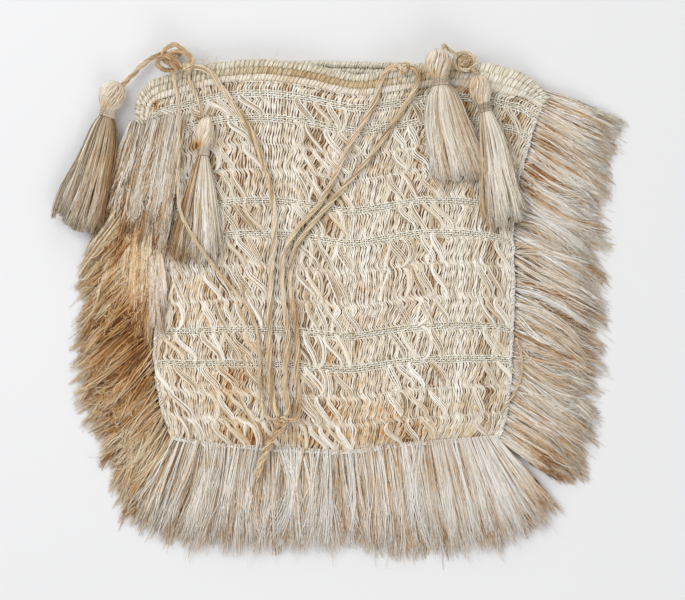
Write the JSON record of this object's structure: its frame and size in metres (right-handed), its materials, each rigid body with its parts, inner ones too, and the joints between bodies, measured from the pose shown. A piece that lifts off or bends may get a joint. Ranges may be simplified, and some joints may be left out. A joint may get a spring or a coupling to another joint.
{
  "type": "woven fibre pouch",
  "caption": "Flat hand-twined flax pouch with a whipped mouth, a fringed hem, nested cord handles and tassels with bound heads.",
  "frame": {"origin": "middle of the back wall's underside, on the surface that the pouch lies on", "axes": "+X across the pouch to its right, +Y up to its mouth, +Z out of its front wall"},
  "size_m": [0.3425, 0.3137, 0.0314],
  "materials": {
    "front_wall_weave": "matte twined flax, cream with golden patches",
    "back_wall_weave": "matte twined flax, cream",
    "rim_whipping": "matte whipped flax, greyish white",
    "hem_twining": "matte twined flax, pale",
    "golden_fringe": "loose dressed flax fibre, golden and stained brown in places",
    "cream_fringe": "loose dressed flax fibre with a soft sheen",
    "handle_cord": "two-ply twisted flax cord",
    "knot_cord": "knotted flax cord",
    "tassel_head_fibre": "folded flax fibre with a soft sheen",
    "tassel_thread": "pale whipping thread",
    "tassel_skirt_fibre": "loose dressed flax fibre with a soft sheen"
  },
  "bodies": {
    "back": {"back_panel": "back_wall_weave", "back_rim": "rim_whipping", "side_seam_left": "hem_twining", "side_seam_right": "hem_twining", "bottom_seam": "hem_twining", "back_knot": "knot_cord", "fringe_left_1": "golden_fringe", "fringe_left_2": "golden_fringe", "fringe_left_3": "golden_fringe", "fringe_left_4": "golden_fringe", "fringe_bottom_1": "cream_fringe", "fringe_bottom_2": "cream_fringe", "fringe_bottom_3": "cream_fringe", "fringe_bottom_4": "cream_fringe", "fringe_bottom_5": "cream_fringe", "fringe_right_1": "cream_fringe", "fringe_right_2": "cream_fringe", "fringe_right_3": "cream_fringe", "fringe_right_4": "cream_fringe", "fringe_right_5": "cream_fringe", "fringe_back_layer": "cream_fringe"},
    "front": {"front_panel": "front_wall_weave", "front_rim": "rim_whipping", "rim_knot_left": "knot_cord", "rim_knot_right": "knot_cord", "rosette_knot": "rim_whipping", "fringe_inner_layer": "golden_fringe"},
    "handles": {"handle_thin_left": "handle_cord", "handle_thick_left": "handle_cord", "handle_thick_right": "handle_cord", "handle_thin_right": "handle_cord", "handle_tie_knot": "knot_cord", "handle_tail": "handle_cord"},
    "tassel_outer": {"tassel_outer_cord": "handle_cord", "tassel_outer_head": "tassel_head_fibre", "tassel_outer_whipping": "tassel_thread", "tassel_outer_skirt": "tassel_skirt_fibre"},
    "tassel_inner": {"tassel_inner_cord": "handle_cord", "tassel_inner_head": "tassel_head_fibre", "tassel_inner_whipping": "tassel_thread", "tassel_inner_skirt": "tassel_skirt_fibre"},
    "tassel_rim": {"tassel_rim_cord": "handle_cord", "tassel_rim_head": "tassel_head_fibre", "tassel_rim_whipping": "tassel_thread", "tassel_rim_skirt": "tassel_skirt_fibre"},
    "tassel_last": {"tassel_last_cord": "handle_cord", "tassel_last_head": "tassel_head_fibre", "tassel_last_whipping": "tassel_thread", "tassel_last_skirt": "tassel_skirt_fibre"}
  },
  "joints": [
    {"name": "mouth_open", "type": "hinge", "parent": "back", "child": "front", "pos_m": [0, -0.11729, 0.0053], "axis": [1, 0, 0], "range_deg": [0, 10]},
    {"name": "handle_lift", "type": "hinge", "parent": "front", "child": "handles", "pos_m": [-0.08813, 0.11444, 0.0176], "axis": [-1, -0.0031, 0], "range_deg": [0, 150]},
    {"name": "tassel_outer_swing", "type": "hinge", "parent": "back", "child": "tassel_outer", "pos_m": [-0.09657, 0.12384, 0.0039], "axis": [0, 0, -1], "range_deg": [0, 30]},
    {"name": "tassel_inner_swing", "type": "hinge", "parent": "front", "child": "tassel_inner", "pos_m": [-0.08813, 0.11444, 0.0176], "axis": [0, 0, 1], "range_deg": [0, 8]},
    {"name": "tassel_rim_swing", "type": "hinge", "parent": "front", "child": "tassel_rim", "pos_m": [0.07748, 0.11841, 0.0179], "axis": [0, 0, -1], "range_deg": [0, 8]},
    {"name": "tassel_last_swing", "type": "hinge", "parent": "front", "child": "tassel_last", "pos_m": [0.07748, 0.11841, 0.0179], "axis": [0, 0, 1], "range_deg": [0, 20]}
  ]
}
